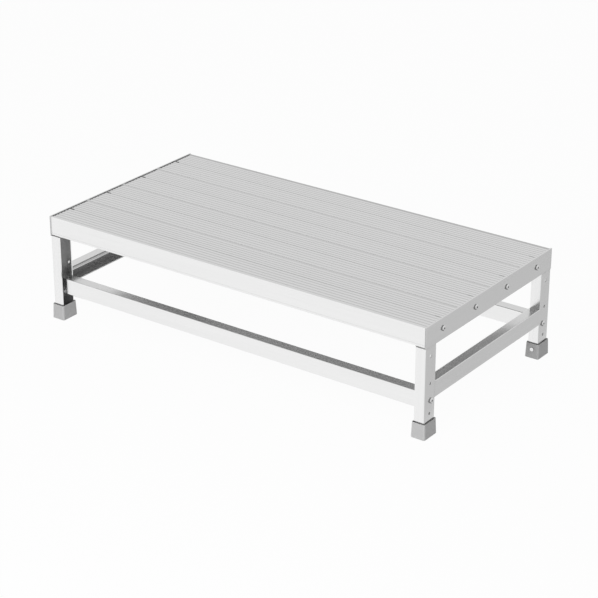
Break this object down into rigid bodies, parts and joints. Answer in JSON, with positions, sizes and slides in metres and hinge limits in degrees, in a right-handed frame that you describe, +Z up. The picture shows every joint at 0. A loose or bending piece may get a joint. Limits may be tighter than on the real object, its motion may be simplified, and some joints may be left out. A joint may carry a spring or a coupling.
{
  "type": "work step",
  "caption": "Low aluminium work step: a ribbed plank deck between end angles on channel legs, with side rails, long rails and plastic feet.",
  "frame": {"origin": "on the floor, under the middle of the deck", "axes": "+X along the deck to the right end, +Y from the front to the back, +Z up"},
  "size_m": [0.8074, 0.4044, 0.2],
  "materials": {
    "deck_aluminium": "ribbed mill finish",
    "frame_aluminium": "fine brushed satin",
    "rivet_aluminium": "smooth",
    "screw_steel": "bright zinc",
    "foot_plastic": "fine grained grey"
  },
  "bodies": {
    "root": {"deck_plank_1": "deck_aluminium", "deck_plank_2": "deck_aluminium", "deck_plank_3": "deck_aluminium", "deck_plank_4": "deck_aluminium", "end_angle_left": "frame_aluminium", "end_angle_right": "frame_aluminium", "leg_front_left": "frame_aluminium", "leg_back_left": "frame_aluminium", "leg_front_right": "frame_aluminium", "leg_back_right": "frame_aluminium", "foot_front_left": "foot_plastic", "foot_back_left": "foot_plastic", "foot_front_right": "foot_plastic", "foot_back_right": "foot_plastic", "side_rail_left": "frame_aluminium", "side_rail_right": "frame_aluminium", "long_rail_front": "frame_aluminium", "long_rail_back": "frame_aluminium", "rail_plugs_front": "frame_aluminium", "rail_plugs_back": "frame_aluminium", "plank_screws_left": "screw_steel", "plank_screws_right": "screw_steel", "rail_screws_left": "screw_steel", "rail_screws_right": "screw_steel", "foot_rivets_front": "rivet_aluminium", "foot_rivets_back": "rivet_aluminium"}
  },
  "joints": []
}
